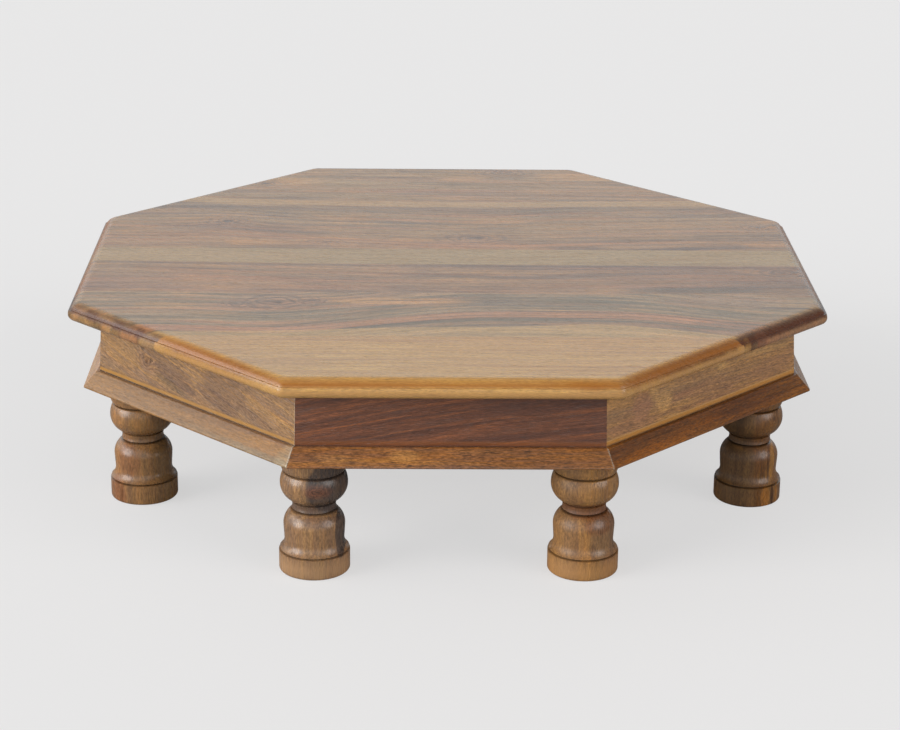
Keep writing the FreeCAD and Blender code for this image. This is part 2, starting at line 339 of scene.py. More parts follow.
def layStreaks(tree, look, shades, marks):
    # The ground of the wood with its streaks, growth lines and clouds
    colour = blendColour(tree, marks["Broad"], shades[look["ground"][0]], shades[look["ground"][1]])
    for mark, tint in (("Warm", "warmTint"), ("Cool", "coolTint"), ("Red", "redTint"),
                       ("Dark", "darkTint"), ("Line", "darkTint"), ("Fine", "darkTint")):
        share = sums(tree, "MULTIPLY", marks[mark], look[mark.lower()])
        colour = blendColour(tree, share, colour, shades[look[tint]])
    return colour


def sheesham(name, look, turn=0.0, axes=("X", "Y", "Z")):
    # Lacquered sheesham. turn brings the piece to the front; axes name its along, across and depth
    look = {**commonLook, **look}
    material = bpy.data.materials.new(name)
    material.use_nodes = True
    tree = material.node_tree
    shader = tree.nodes["Principled BSDF"]
    seed, tone = look["seed"], Vector(look["tone"])
    shades = {tint: tuple(Vector(colour[:3]) * tone) + (1,) for tint, colour in palette.items()}
    coords = put(tree, "TexCoord").outputs["Object"]
    turned = put(tree, "Mapping", {"Vector": coords, "Rotation": (0, 0, turn)})
    split = put(tree, "SeparateXYZ", {0: turned.outputs[0]}).outputs
    joined = put(tree, "CombineXYZ", dict(zip("XYZ", (split[axis] for axis in axes))))
    shift = tuple(-value for value in look["centre"])
    centred = put(tree, "Mapping", {"Vector": joined.outputs[0], "Location": shift})
    slanted = put(tree, "Mapping", {"Vector": centred.outputs[0], "Rotation": (0, 0, look["slant"])})
    lean = Matrix.Rotation(look["slant"], 2)
    along, across, depth = put(tree, "SeparateXYZ", {0: slanted.outputs[0]}).outputs
    sway = aboutZero(tree, noise(tree, along, across, depth, seed, woodHabit["swayScales"]))
    wobble = aboutZero(tree, noise(tree, along, across, depth, seed, woodHabit["wobbleScales"],
                                   woodHabit["wobbleDetail"], woodHabit["wobbleRoughness"]))

    # Growth lines: nearly level, swollen here and there, and closed into rings about the knots
    calm = sums(tree, "MULTIPLY_ADD", wobble, look["wobble"], across)
    calm = sums(tree, "MULTIPLY_ADD", depth, look["tilt"], calm)
    flat = followSwells(tree, along, calm, look["swells"])
    level = sums(tree, "MULTIPLY_ADD", sway, look["wander"], flat)
    hearts, halos, circles = 0.0, 0.0, 0.0
    for spot, height, length, width, rise in look["knots"]:
        spot, height = lean @ Vector((spot, height))
        ragged = sums(tree, "MULTIPLY_ADD", wobble, width * woodHabit["knotRagged"], across)
        rings = place(tree, knotRings, {"Along": along, "Across": ragged, "Place": spot, "Level": height,
                                        "Length": length, "Width": width, "Rise": rise})
        level = sums(tree, "ADD", level, rings["Lift"])
        hearts = sums(tree, "MAXIMUM", rings["Heart"], hearts)
        halos = sums(tree, "MAXIMUM", rings["Halo"], halos)
        circles = sums(tree, "MAXIMUM", rings["Ring"], circles)
    if "crowd" in look:
        level = sums(tree, "MULTIPLY", level, look["crowd"])
    marks = place(tree, streaks, {"Along": along, "Across": level, "Depth": depth, "Seed": seed,
                                  "Lines": look["lines"]})
    colour = layStreaks(tree, look, shades, marks)

    # Bands, patches and worn edges
    for count, (low, high, soft, wander, tint, amount, *own) in enumerate(look["bands"]):
        rise = followSwells(tree, along, calm, own) if own else flat
        band = place(tree, grainBand, {"Along": along, "Across": rise,
                                       "Seed": seed + count * woodHabit["bandSeedStep"], "Low": low,
                                       "High": high, "Soft": soft, "Wander": wander})
        body = sums(tree, "MULTIPLY_ADD", marks["Fine"], woodHabit["bandGrain"], 1.0)
        share = sums(tree, "MULTIPLY", sums(tree, "MULTIPLY", band["Band"], amount), body)
        colour = blendColour(tree, share, colour, shades[tint])
    if look["edges"]:
        rim = ramp(tree, split["Z"], *edgeFade["rim"])
        upper = ramp(tree, split["Z"], *edgeFade["band"])
    clouds = look["patches"] + look["edges"]
    for count, (spot, height, length, width, tint, amount, *own) in enumerate(clouds):
        spot, height = lean @ Vector((spot, height))
        patch = patchMask(tree, along, calm, wobble, spot, height, length, width, look["soft"])
        share = sums(tree, "MULTIPLY", patch, amount)
        if count >= len(look["patches"]):
            onBand, onBead = own or (edgeFade["onBand"], edgeFade["onBead"])
            part = sums(tree, "MULTIPLY_ADD", upper, onBand - onBead, onBead)
            share = sums(tree, "MULTIPLY", share, sums(tree, "MULTIPLY", rim, part))
        body = sums(tree, "MULTIPLY_ADD", marks["Fine"], woodHabit["patchGrain"], 1.0)
        colour = blendColour(tree, sums(tree, "MULTIPLY", share, body), colour, shades[tint])
    if look["knots"]:
        for mask, amount, tint in zip((halos, circles, hearts), look["knotShares"], look["knotTints"]):
            colour = blendColour(tree, sums(tree, "MULTIPLY", mask, amount), colour, shades[tint])

    # Pores, flecks, lines at a height (stain, painted shade in creases, painted highlight on coves) and
    # filler
    pores = sums(tree, "MULTIPLY", marks["Pore"], look["pores"])
    colour = blendColour(tree, pores, colour, shades["black"])
    shade = sums(tree, "MULTIPLY_ADD", marks["Fleck"], 2 * look["flecks"], 1 - look["flecks"])
    if "hatch" in look:
        cross = sums(tree, "MULTIPLY_ADD", marks["Hatch"], 2 * look["hatch"], 1 - look["hatch"])
        shade = sums(tree, "MULTIPLY", shade, cross)
    grey = put(tree, "CombineColor", {0: shade, 1: shade, 2: shade}).outputs[0]
    colour = blendColour(tree, 1.0, colour, grey, "MULTIPLY")
    for height, width, tint, amount in look["heightLines"]:
        strip = place(tree, heightLine, {"Height": split["Z"], "Level": height, "Width": width})
        uneven = sums(tree, "MULTIPLY_ADD", marks["Broad"], woodHabit["lineGrain"] * amount,
                      woodHabit["lineEven"] * amount)
        colour = blendColour(tree, sums(tree, "MULTIPLY", strip["Stain"], uneven), colour, shades[tint])
    if "filler" in look:
        gap = place(tree, mitreFiller, {"X": split["X"], "Y": split["Y"], "Wobble": wobble,
                                        "Left": look["filler"][0], "Right": look["filler"][1]})
        patchy = sums(tree, "MULTIPLY_ADD", marks["Fleck"], woodHabit["fillerGrain"],
                      woodHabit["fillerEven"])
        colour = blendColour(tree, sums(tree, "MULTIPLY", gap["Filler"], patchy), colour, palette["filler"])
    tree.links.new(colour, shader.inputs["Base Color"])

    # Lacquer, sunk a little into the pores
    shine = sums(tree, "MULTIPLY_ADD", marks["Fine"], lacquer["fineRoughness"], look["roughness"])
    for spot, height, length, width, amount in look["dull"]:
        patch = patchMask(tree, along, across, wobble, spot, height, length, width, lacquer["dullSoft"])
        shine = sums(tree, "MULTIPLY_ADD", patch, amount, shine)
    tree.links.new(shine, shader.inputs["Roughness"])
    shader.inputs["Specular IOR Level"].default_value = lacquer["specular"]
    height = sums(tree, "MULTIPLY_ADD", marks["Pore"], lacquer["poreHeight"],
                  sums(tree, "MULTIPLY", marks["Fleck"], lacquer["fleckHeight"]))
    bump = put(tree, "Bump", {"Height": height, "Distance": lacquer["depth"],
                              "Strength": lacquer["strength"]})
    tree.links.new(bump.outputs[0], shader.inputs["Normal"])
    return material


# Mesh helpers

def bend(start, end, leave, steps):
    # Points of an arc that leaves start along leave and stops at end, without start
    chord = end - start
    inward = (chord - leave * chord.dot(leave)).normalized()
    radius = chord.dot(chord) / (2 * chord.dot(inward))
    middle = start + inward * radius
    turn = (start - middle).angle_signed(end - middle)
    points = []
    for step in range(1, steps + 1):
        arm = start - middle
        arm.rotate(Matrix.Rotation(-turn * step / steps, 2))
        points.append(middle + arm)
    return points


meshHabit = {"mergeDistance": 0.000001, "arrisSegments": 2}


def finishPiece(name, bm, material, replaced, smoothAngle, arris=0.0):
    bmesh.ops.remove_doubles(bm, verts=bm.verts, dist=meshHabit["mergeDistance"])
    bmesh.ops.recalc_face_normals(bm, faces=bm.faces)
    mesh = bpy.data.meshes.new(name)
    bm.to_mesh(mesh)
    bm.free()
    mesh.shade_smooth()
    mesh.set_sharp_from_angle(angle=math.radians(smoothAngle))
    piece = bpy.data.objects.new(name, mesh)
    bpy.context.scene.collection.objects.link(piece)
    mesh.materials.append(material)
    if arris:
        rounding = piece.modifiers.new("arris", "BEVEL")
        rounding.width = arris
        rounding.segments = meshHabit["arrisSegments"]
        rounding.limit_method = "ANGLE"
        rounding.angle_limit = math.radians(smoothAngle)
        piece.modifiers.new("normals", "WEIGHTED_NORMAL")
    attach(piece, "root")
    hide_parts(replaced)
    return piece


# Top: an octagon grown ring by ring along its moulded edge, then sawn into planks

topShape = {
    "roundOverWidth": 0.0085, "roundOverHeight": 0.0056, "roundOverInset": 0.0020,
    "beadTopInset": 0.0009, "beadNoseDrop": 0.0040, "beadFootInset": 0.0028,
    "cornerRound": 0.0030, "cornerSegments": 4, "flatInset": 0.0015, "clearance": 0.000001,
    "beadFootSteps": 7, "beadTopSteps": 5, "roundOverSteps": 9, "smoothAngle": 40,
}


def topEdge():
    # (distance past the widest point, height) from the bottom arris up to the flat top
    low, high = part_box("top_plank_1")[0].z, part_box("top_plank_1")[1].z
    s = topShape
    step = Vector((-s["roundOverInset"], high - s["roundOverHeight"]))
    brow = Vector((step.x - s["roundOverWidth"], high))
    beadTop = Vector((-s["beadTopInset"], step.y))
    nose = Vector((0.0, step.y - s["beadNoseDrop"]))
    foot = Vector((-s["beadFootInset"], low))
    points = list(reversed([nose] + bend(nose, foot, down, s["beadFootSteps"])))
    points += bend(nose, beadTop, up, s["beadTopSteps"]) + [step]
    points += list(reversed(bend(brow, step, out, s["roundOverSteps"])))[1:] + [brow]
    points.append(brow - Vector((s["flatInset"], 0)))
    return points


def growTop():
    bm = bmesh.new()
    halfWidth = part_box("top_plank_3")[1].x - topShape["clearance"]
    edge = topEdge()
    radius = (halfWidth + edge[0].x) / math.cos(mitre)
    ring = bmesh.ops.create_circle(bm, segments=len(sideNames), radius=radius)["verts"]
    bmesh.ops.rotate(bm, verts=ring, cent=(0, 0, 0), matrix=Matrix.Rotation(mitre, 3, "Z"))
    bmesh.ops.translate(bm, verts=ring, vec=(0, 0, edge[0].y))
    loop = list(bm.edges)
    bmesh.ops.contextual_create(bm, geom=loop)
    corners = []
    for before, after in zip(edge, edge[1:]):
        grown = bmesh.ops.extrude_edge_only(bm, edges=loop)["geom"]
        verts = [g for g in grown if isinstance(g, bmesh.types.BMVert)]
        loop = [g for g in grown if isinstance(g, bmesh.types.BMEdge)]
        factor = (halfWidth + after.x) / (halfWidth + before.x)
        bmesh.ops.scale(bm, verts=verts, vec=(factor, factor, 1))
        bmesh.ops.translate(bm, verts=verts, vec=(0, 0, after.y - before.y))
        corners += [e for v in verts for e in v.link_edges if e not in loop]
    bmesh.ops.contextual_create(bm, geom=loop)
    rounds = [e for e in set(corners) if e.is_valid]
    bmesh.ops.bevel(bm, geom=rounds, affect="EDGES", offset=topShape["cornerRound"],
                    segments=topShape["cornerSegments"], profile=0.5, material=-1, clamp_overlap=True)
    return bm


edgeStains = {
    "top_plank_1": ((0.166, 0.003, "toffee", 0.96), (0.1684, 0.002, "toffee", 0.45),
        (0.1598, 0.004, "sand", 0.6)),
    "top_plank_2": ((0.1652, 0.0032, "garnet", 0.8), (0.1682, 0.0014, "umber", 0.5)),
}
# Swells that the edges of the sapwood bands follow: along, reach, rise
frontSap = ((0.0, 0.11, 0.0127), (0.12, 0.06, 0.0168), (0.25, 0.05, -0.012))
rearSap = ((0.0, 0.15, -0.008), (-0.26, 0.05, 0.01))
plankLooks = {
    "top_plank_1": {
        "seed": 1.3, "ground": ("pale", "gold"), "red": 0.25, "redTint": "tan", "dark": 0.3,
        "darkTint": "plum", "fine": 0.35, "line": 0.25, "wander": 0.01, "tone": (1.15, 1.13, 0.84),
        "warm": 0.3, "warmTint": "pale", "cool": 0.3, "coolTint": "tan",
        "patches": ((0.24, -0.215, 0.04, 0.012, "orange", 0.3),),
        "edges": ((-0.18, -0.256, 0.05, 0.06, "toffee", 0.75), (0.17, -0.256, 0.05, 0.07, "toffee", 0.85),
            (-0.06, -0.29, 0.03, 0.012, "tan", 0.6), (0.05, -0.292, 0.04, 0.006, "tan", 0.5),
            (0.188, -0.24, 0.042, 0.042, "umber", 0.45), (0.205, -0.218, 0.02, 0.02, "umber", 0.5),
            (0.16, -0.262, 0.07, 0.07, "umber", 0.3, 1.0, 0.0),
            (-0.142, -0.282, 0.036, 0.036, "umber", 0.22, 1.0, 0.0),
            (0.095, -0.29, 0.03, 0.01, "toffee", 0.6), (-0.212, -0.212, 0.014, 0.014, "umber", 0.3),
            (-0.172, -0.25, 0.046, 0.046, "umber", 0.32))},
    "top_plank_2": {
        "seed": 2.9, "ground": ("heart", "olive"), "red": 0.55, "dark": 0.7, "darkTint": "dusk",
        "fine": 0.3, "line": 0.5, "warm": 0.45, "cool": 0.35, "coolTint": "dusk", "soft": 0.35,
        "swells": ((0.03, 0.1, 0.0334), (0.15, 0.07, 0.0226), (-0.135, 0.05, -0.008)),
        "tone": (1.14, 1.1, 0.9),
        "knots": ((-0.137, -0.117, 0.022, 0.015, -0.01), (-0.166, -0.122, 0.01, 0.008, 0.005),
            (-0.108, -0.113, 0.01, 0.008, -0.005)),
        "knotShares": (0.35, 0.65, 0.65),
        "bands": ((-0.215, -0.189, 0.002, 0.003, "dusk", 0.35),
            (-0.189, -0.1735, 0.0015, 0.003, "red", 0.48), (-0.1905, -0.187, 0.0012, 0.003, "umber", 0.7),
            (-0.183, -0.1805, 0.001, 0.004, "umber", 0.45),
            (-0.1745, -0.171, 0.0015, 0.004, "umber", 0.55), (-0.17, -0.14, 0.01, 0.006, "dusk", 0.1),
            (-0.225, -0.1885, 0.0025, 0.002, "pale", 0.62, *frontSap)),
        "patches": ((0.085, -0.118, 0.075, 0.013, "dusk", 0.4),
            (0.03, -0.107, 0.045, 0.005, "umber", 0.35), (-0.04, -0.114, 0.05, 0.008, "orange", 0.6),
            (-0.03, -0.112, 0.04, 0.0016, "umber", 0.6), (-0.23, -0.128, 0.02, 0.01, "gold", 0.25),
            (0.01, -0.1945, 0.075, 0.004, "grey", 0.3), (0.225, -0.112, 0.05, 0.016, "plum", 0.4),
            (0.262, -0.128, 0.022, 0.003, "umber", 0.6), (0.215, -0.172, 0.035, 0.01, "dusk", 0.5)),
        "edges": ((0.262, -0.162, 0.056, 0.056, "garnet", 0.97, 1.0, 0.1),
            (0.236, -0.188, 0.01, 0.008, "black", 0.6),
            (0.27, -0.154, 0.05, 0.04, "plum", 0.75, 0.0, 1.0),
            (0.232, -0.19, 0.006, 0.008, "umber", 0.8, 0.6, 1.0),
            (0.24, -0.184, 0.003, 0.006, "slate", 0.6, 0.3, 1.0),
            (0.276, -0.148, 0.006, 0.01, "wine", 0.5), (-0.277, -0.143, 0.006, 0.01, "garnet", 0.8),
            (-0.291, -0.129, 0.007, 0.008, "plum", 0.6), (-0.265, -0.155, 0.005, 0.008, "tan", 0.4),
            (-0.254, -0.166, 0.006, 0.007, "garnet", 0.85),
            (-0.243, -0.177, 0.012, 0.012, "plum", 0.5, 0.3, 1.0),
            (-0.246, -0.178, 0.006, 0.006, "umber", 0.6, 1.0, 0.1),
            (-0.236, -0.184, 0.005, 0.005, "garnet", 0.9),
            (-0.228, -0.196, 0.01, 0.01, "grey", 0.85, 0.8, 1.0),
            (-0.222, -0.199, 0.006, 0.006, "umber", 0.4, 1.0, 0.2),
            (0.222, -0.197, 0.012, 0.008, "garnet", 0.85),
            (0.227, -0.1975, 0.003, 0.005, "gold", 0.7, 1.0, 0.6),
            (0.2395, -0.185, 0.006, 0.008, "rust", 0.75, 1.0, 0.8),
            (0.256, -0.169, 0.01, 0.006, "wine", 0.6, 1.0, 0.2),
            (0.262, -0.162, 0.056, 0.056, "black", 0.42, 1.0, 0.1))},
    "top_plank_3": {
        "seed": 5.1, "ground": ("heart", "plum"), "red": 0.45, "dark": 0.6, "darkTint": "umber",
        "fine": 0.16, "line": 0.25, "warm": 0.45, "cool": 0.35, "coolTint": "umber",
        "tone": (1.03, 0.96, 0.64), "wander": 0.018,
        "swells": ((-0.3, 0.12, 0.01), (0.02, 0.12, -0.004), (0.3, 0.1, 0.004)),
        "knots": ((0.277, -0.034, 0.018, 0.011, 0.018),),
        "bands": ((-0.024, -0.0155, 0.003, 0.004, "umber", 0.5, (-0.3, 0.14, 0.008)),
            (-0.017, 0.06, 0.002, 0.003, "straw", 0.95, (-0.3, 0.14, 0.008))),
        "patches": ((-0.26, 0.008, 0.15, 0.016, "cream", 0.75),
            (0.205, -0.082, 0.055, 0.007, "dusk", 0.8), (0.27, -0.072, 0.05, 0.022, "umber", 0.45),
            (0.2, -0.05, 0.11, 0.04, "wine", 0.3), (-0.18, -0.07, 0.06, 0.014, "orange", 0.25))},
    "top_plank_4": {
        "seed": 7.7, "ground": ("heart", "olive"), "red": 0.4, "dark": 0.65, "darkTint": "umber",
        "fine": 0.15, "line": 0.3, "warm": 0.5, "cool": 0.35, "coolTint": "umber",
        "tone": (1.07, 0.94, 0.55), "wander": 0.022,
        "swells": ((-0.3, 0.14, 0.012), (0.03, 0.07, -0.01), (0.3, 0.12, 0.012), (-0.192, 0.05, 0.005)),
        "knots": ((-0.192, 0.109, 0.016, 0.011, -0.012), (0.026, 0.062, 0.022, 0.013, -0.018),
            (0.275, 0.098, 0.014, 0.009, 0.016), (-0.105, 0.048, 0.012, 0.007, -0.012)),
        "knotShares": (0.28, 0.55, 0.8),
        "bands": ((0.143, 0.167, 0.008, 0.003, "umber", 0.38, *rearSap),
            (0.165, 0.1845, 0.0025, 0.003, "cream", 0.9, *rearSap)),
        "patches": ((-0.165, 0.047, 0.024, 0.008, "orange", 0.45),
            (0.049, 0.118, 0.026, 0.008, "orange", 0.22), (-0.03, 0.056, 0.016, 0.006, "orange", 0.4),
            (0.112, 0.033, 0.026, 0.005, "umber", 0.65), (0.205, 0.034, 0.018, 0.005, "umber", 0.65),
            (0.245, 0.04, 0.016, 0.006, "umber", 0.55))},
    "top_plank_5": {
        "seed": 9.2, "ground": ("olive", "heart"), "red": 0.4, "dark": 0.55, "darkTint": "umber",
        "fine": 0.16, "line": 0.25, "warm": 0.45, "cool": 0.35, "coolTint": "umber",
        "tone": (1.08, 0.98, 0.59), "wander": 0.02,
        "knots": ((0.058, 0.276, 0.018, 0.011, 0.016), (-0.165, 0.235, 0.014, 0.009, 0.014)),
        "bands": ((0.165, 0.1845, 0.0025, 0.003, "cream", 0.9, *rearSap),),
        "patches": ((-0.15, 0.245, 0.04, 0.014, "orange", 0.45),
            (0.13, 0.265, 0.04, 0.012, "orange", 0.45), (0.02, 0.255, 0.022, 0.008, "orange", 0.35),
            (0.02, 0.205, 0.06, 0.01, "umber", 0.35))},
}


def makeTop():
    whole = growTop()
    for name, look in plankLooks.items():
        low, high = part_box(name)
        bm = whole.copy()
        for level, side in ((low.y, "clear_inner"), (high.y, "clear_outer")):
            geom = list(bm.verts) + list(bm.edges) + list(bm.faces)
            bmesh.ops.bisect_plane(bm, geom=geom, plane_co=(0, level, 0), plane_no=(0, 1, 0),
                                   **{side: True})
            rim = [e for e in bm.edges if e.is_boundary]
            if rim:
                bmesh.ops.contextual_create(bm, geom=rim)
        heightLines = edgeStains.get(name, edgeStains["top_plank_1"])
        wood = sheesham(name, dict(look, heightLines=heightLines, centre=(0, 0, high.z)))
        finishPiece(name.replace("_", "-"), bm, wood, name, topShape["smoothAngle"])
    whole.free()


makeTop()
print("top planks made")


# Aprons and base mouldings: one section drawn out, sawn at both mitres

apronShape = {"coveHeight": 0.0040, "coveWidth": 0.0024, "coveSteps": 6, "thickness": 0.0150,
              "arris": 0.0005}
mouldingShape = {"slopeWidth": 0.0102, "lip": 0.0016, "arris": 0.0006}
sawing = {"stockLength": 0.6, "smoothAngle": 30}


def drawLength(section, index):
    # section is in (distance out, height); the length lies along side number index of the octagon
    bm = bmesh.new()
    verts = [bm.verts.new((0, -p.x, p.y)) for p in section]
    face = bmesh.ops.contextual_create(bm, geom=verts)["faces"]
    bmesh.ops.translate(bm, verts=verts, vec=(-sawing["stockLength"] / 2, 0, 0))
    pulled = bmesh.ops.extrude_face_region(bm, geom=face)["geom"]
    far = [g for g in pulled if isinstance(g, bmesh.types.BMVert)]
    bmesh.ops.translate(bm, verts=far, vec=(sawing["stockLength"], 0, 0))
    for side in (-1, 1):
        normal = Vector((side * math.cos(mitre), math.sin(mitre), 0))
        geom = list(bm.verts) + list(bm.edges) + list(bm.faces)
        bmesh.ops.bisect_plane(bm, geom=geom, plane_co=(0, 0, 0), plane_no=normal, clear_outer=True)
        bmesh.ops.contextual_create(bm, geom=[e for e in bm.edges if e.is_boundary])
    bmesh.ops.rotate(bm, verts=bm.verts, cent=(0, 0, 0), matrix=Matrix.Rotation(index * sideTurn, 3, "Z"))
    return bm


def apronSection():
    low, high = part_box("apron_front")
    face = -low.y - apronShape["coveWidth"]
    coveTop = Vector((face, low.z + apronShape["coveHeight"]))
    foot = Vector((-low.y, low.z))
    inner = face - apronShape["thickness"]
    return [coveTop] + bend(coveTop, foot, down, apronShape["coveSteps"]) + [
        Vector((inner, low.z)), Vector((inner, high.z)), Vector((face, high.z))]


def mouldingSection():
    low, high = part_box("base_moulding_front")
    inner = -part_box("apron_front")[1].y
    tip = -low.y
    return [Vector((inner, low.z)), Vector((tip, low.z)), Vector((tip, low.z + mouldingShape["lip"])),
            Vector((tip - mouldingShape["slopeWidth"], high.z)), Vector((inner, high.z))]


# Black line at the foot of the apron's cove: painted shade in the crease where the apron meets the base
# moulding, over the dark joint
coveCreaseShade = (0.1110, 0.0012, "black", 0.7)
apronLooks = {
    "front": {
        "seed": 11.0, "hatch": 0.14, "ground": ("wine", "deep"), "red": 0.6, "redTint": "brick",
        "slant": -0.2, "dark": 0.95, "darkTint": "deep", "fine": 0.5, "line": 0.5, "lines": 120.0,
        "flecks": 0.3, "wander": 0.01, "crowd": 2.2, "tone": (1.5, 1.46, 1.4), "cool": 0.6,
        "coolTint": "slate", "warm": 0.5, "warmTint": "brick", "swells": ((0.15, 0.11, -0.012),),
        # On the cove the wood turns darker and more orange; the black line at its foot is painted shade in
        # the crease where the apron meets the moulding
        "heightLines": ((0.1128, 0.0034, "toffee", 0.35), (0.1122, 0.0032, "garnet", 0.55), coveCreaseShade)},
    "front_left": {
        "seed": 12.4, "hatch": 0.13, "ground": ("tan", "gold"), "red": 0.15, "slant": 0.24, "dark": 0.8,
        "darkTint": "grey", "fine": 0.75, "line": 0.4, "crowd": 2.3, "flecks": 0.5,
        "tone": (0.88, 0.9, 0.91), "cool": 0.5, "coolTint": "grey", "warm": 0.35, "warmTint": "gold",
        "filler": (0.0001, 0.0005), "soft": 0.12, "knots": ((-0.057, -0.001, 0.008, 0.005, 0.01),),
        "patches": ((-0.022, -0.006, 0.026, 0.0045, "dark", 0.6),
            (-0.027, -0.0115, 0.018, 0.0035, "dusk", 0.45), (0.028, -0.01, 0.026, 0.006, "dark", 0.5),
            (-0.032, 0.004, 0.034, 0.004, "dark", 0.42), (0.036, 0.001, 0.026, 0.011, "dark", 0.42),
            (0.071, -0.012, 0.02, 0.003, "dark", 0.4), (-0.088, 0.002, 0.026, 0.012, "gold", 0.4)),
        # Along the cove a golden line, partly lighter sanded wood and partly a painted highlight of the
        # lamps along the hollow; the black line at its foot is painted shade in the crease
        "heightLines": ((0.115, 0.0012, "umber", 0.35), (0.1131, 0.0024, "pale", 0.5),
            (0.1131, 0.0022, "honey", 0.8), (0.111, 0.0014, "black", 0.9))},
    "front_right": {
        "seed": 13.1, "hatch": 0.08, "ground": ("gold", "olive"), "red": 0.15, "dark": 0.35, "fine": 0.45,
        "line": 0.15, "flecks": 0.35, "tone": (0.99, 0.94, 0.86), "warm": 0.5, "warmTint": "pale",
        "cool": 0.5, "coolTint": "plum", "crowd": 1.3, "soft": 0.3, "slant": 0.06,
        "knots": ((-0.022, -0.016, 0.004, 0.0015, 0.003),),
        "patches": ((-0.09, 0.014, 0.03, 0.006, "pale", 0.45), (-0.085, -0.013, 0.03, 0.006, "plum", 0.5),
            (0.088, 0.016, 0.03, 0.006, "pale", 0.4), (-0.06, 0.006, 0.006, 0.006, "pale", 0.6),
            (-0.048, -0.003, 0.009, 0.008, "pale", 0.55), (0.021, 0.008, 0.006, 0.004, "pale", 0.7),
            (-0.095, 0.01, 0.03, 0.008, "gold", 0.5), (0.076, 0.007, 0.028, 0.002, "pale", 0.6),
            (-0.074, -0.001, 0.011, 0.011, "plum", 0.7), (0.085, -0.01, 0.03, 0.008, "plum", 0.35),
            (0.01, -0.01, 0.03, 0.01, "plum", 0.25)),
        # Along the cove a golden band, partly lighter sanded wood and partly a painted highlight of the
        # lamps along the hollow; the black line at its foot is painted shade in the crease
        "heightLines": ((0.1134, 0.0028, "honey", 1.0), (0.115, 0.0008, "pale", 0.8),
            (0.1113, 0.0012, "black", 0.7))},
    "other": {
        "seed": 14.6, "ground": ("heart", "olive"), "red": 0.4, "dark": 0.5, "fine": 0.4, "line": 0.3,
        "flecks": 0.22, "tone": (0.88, 0.82, 0.74), "warm": 0.4, "cool": 0.4,
        # A golden band along the cove, partly lighter sanded wood and partly a painted highlight; the black
        # line at its foot is painted shade in the crease
        "heightLines": ((0.1125, 0.0032, "honey", 0.5), coveCreaseShade)},
}
mouldingLooks = {
    "front": {
        "seed": 21.0, "hatch": 0.12, "ground": ("amber", "wine"), "red": 0.35, "redTint": "gold",
        "dark": 0.6, "fine": 0.5, "line": 0.2, "pores": 0.9, "flecks": 0.45, "tone": (0.92, 0.84, 0.78),
        "filler": (0.0002, 0.0009),
        "patches": ((0.075, 0.0, 0.06, 0.02, "deep", 0.3), (-0.033, 0.003, 0.01, 0.004, "gold", 0.6),
            (-0.085, 0.001, 0.012, 0.003, "gold", 0.35))},
    "front_left": {
        "seed": 22.4, "hatch": 0.08, "ground": ("tan", "plum"), "red": 0.25, "redTint": "orange",
        "dark": 0.45, "darkTint": "grey", "fine": 0.35, "line": 0.2, "flecks": 0.25,
        "tone": (0.75, 0.69, 0.52), "filler": (0.0003, 0.0016),
        "patches": ((-0.11, 0.0, 0.03, 0.012, "gold", 0.35), (0.06, -0.0035, 0.06, 0.0022, "ash", 0.6),
            (0.095, -0.005, 0.035, 0.0034, "ash", 0.75), (0.114, -0.003, 0.008, 0.014, "filler", 0.4),
            (0.088, 0.0045, 0.03, 0.0028, "gold", 0.55))},
    "front_right": {
        "seed": 23.1, "hatch": 0.14, "ground": ("wine", "amber"), "red": 0.5, "redTint": "amber",
        "dark": 0.75, "darkTint": "deep", "fine": 0.5, "line": 0.4, "flecks": 0.4, "crowd": 1.6,
        "tone": (1.16, 1.04, 0.42), "warm": 0.7, "warmTint": "amber", "cool": 0.4, "coolTint": "deep",
        "filler": (0.0002, 0.0003),
        "patches": ((-0.08, -0.003, 0.045, 0.004, "toffee", 0.6),
            (-0.02, 0.002, 0.03, 0.003, "toffee", 0.35), (0.045, 0.0, 0.045, 0.012, "garnet", 0.35))},
    "left": {
        "seed": 25.1, "ground": ("pale", "tan"), "flecks": 0.2, "tone": (1.1, 1.1, 1.3)},
    "other": {
        "seed": 24.6, "ground": ("heart", "olive"), "red": 0.25, "dark": 0.5, "fine": 0.4, "line": 0.25,
        "flecks": 0.3, "tone": (0.78, 0.7, 0.58), "warm": 0.3, "cool": 0.3, "filler": (0.0006, 0.0006)},
}


def lookOf(looks, name, index):
    # A piece without a look of its own takes the common one with its own seed
    if name in looks:
        return looks[name]
    return dict(looks["other"], seed=looks["other"]["seed"] + index * woodHabit["seedStep"])


def makeFrame():
    kinds = (("apron", "apron-", "apron_wood", apronSection, apronShape, apronLooks),
             ("base_moulding", "baseMoulding-", "moulding_wood", mouldingSection, mouldingShape,
              mouldingLooks))
    for index, name in enumerate(sideNames):
        for kind, label, slot, section, shape, looks in kinds:
            low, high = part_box(kind + "_front")
            look = dict(lookOf(looks, name, index), centre=(0, (low.z + high.z) / 2, low.y))
            wood = sheesham(slot + "_" + name, look, -index * sideTurn, ("X", "Z", "Y"))
            if kind == "apron" and name == "front":
                slot = "dark_apron_wood"
            finishPiece(label + name, drawLength(section(), index), wood, kind + "_" + name,
                        sawing["smoothAngle"], shape["arris"])


makeFrame()
print("aprons and base mouldings made")


# Legs: the outline of the turning, spun about its axis

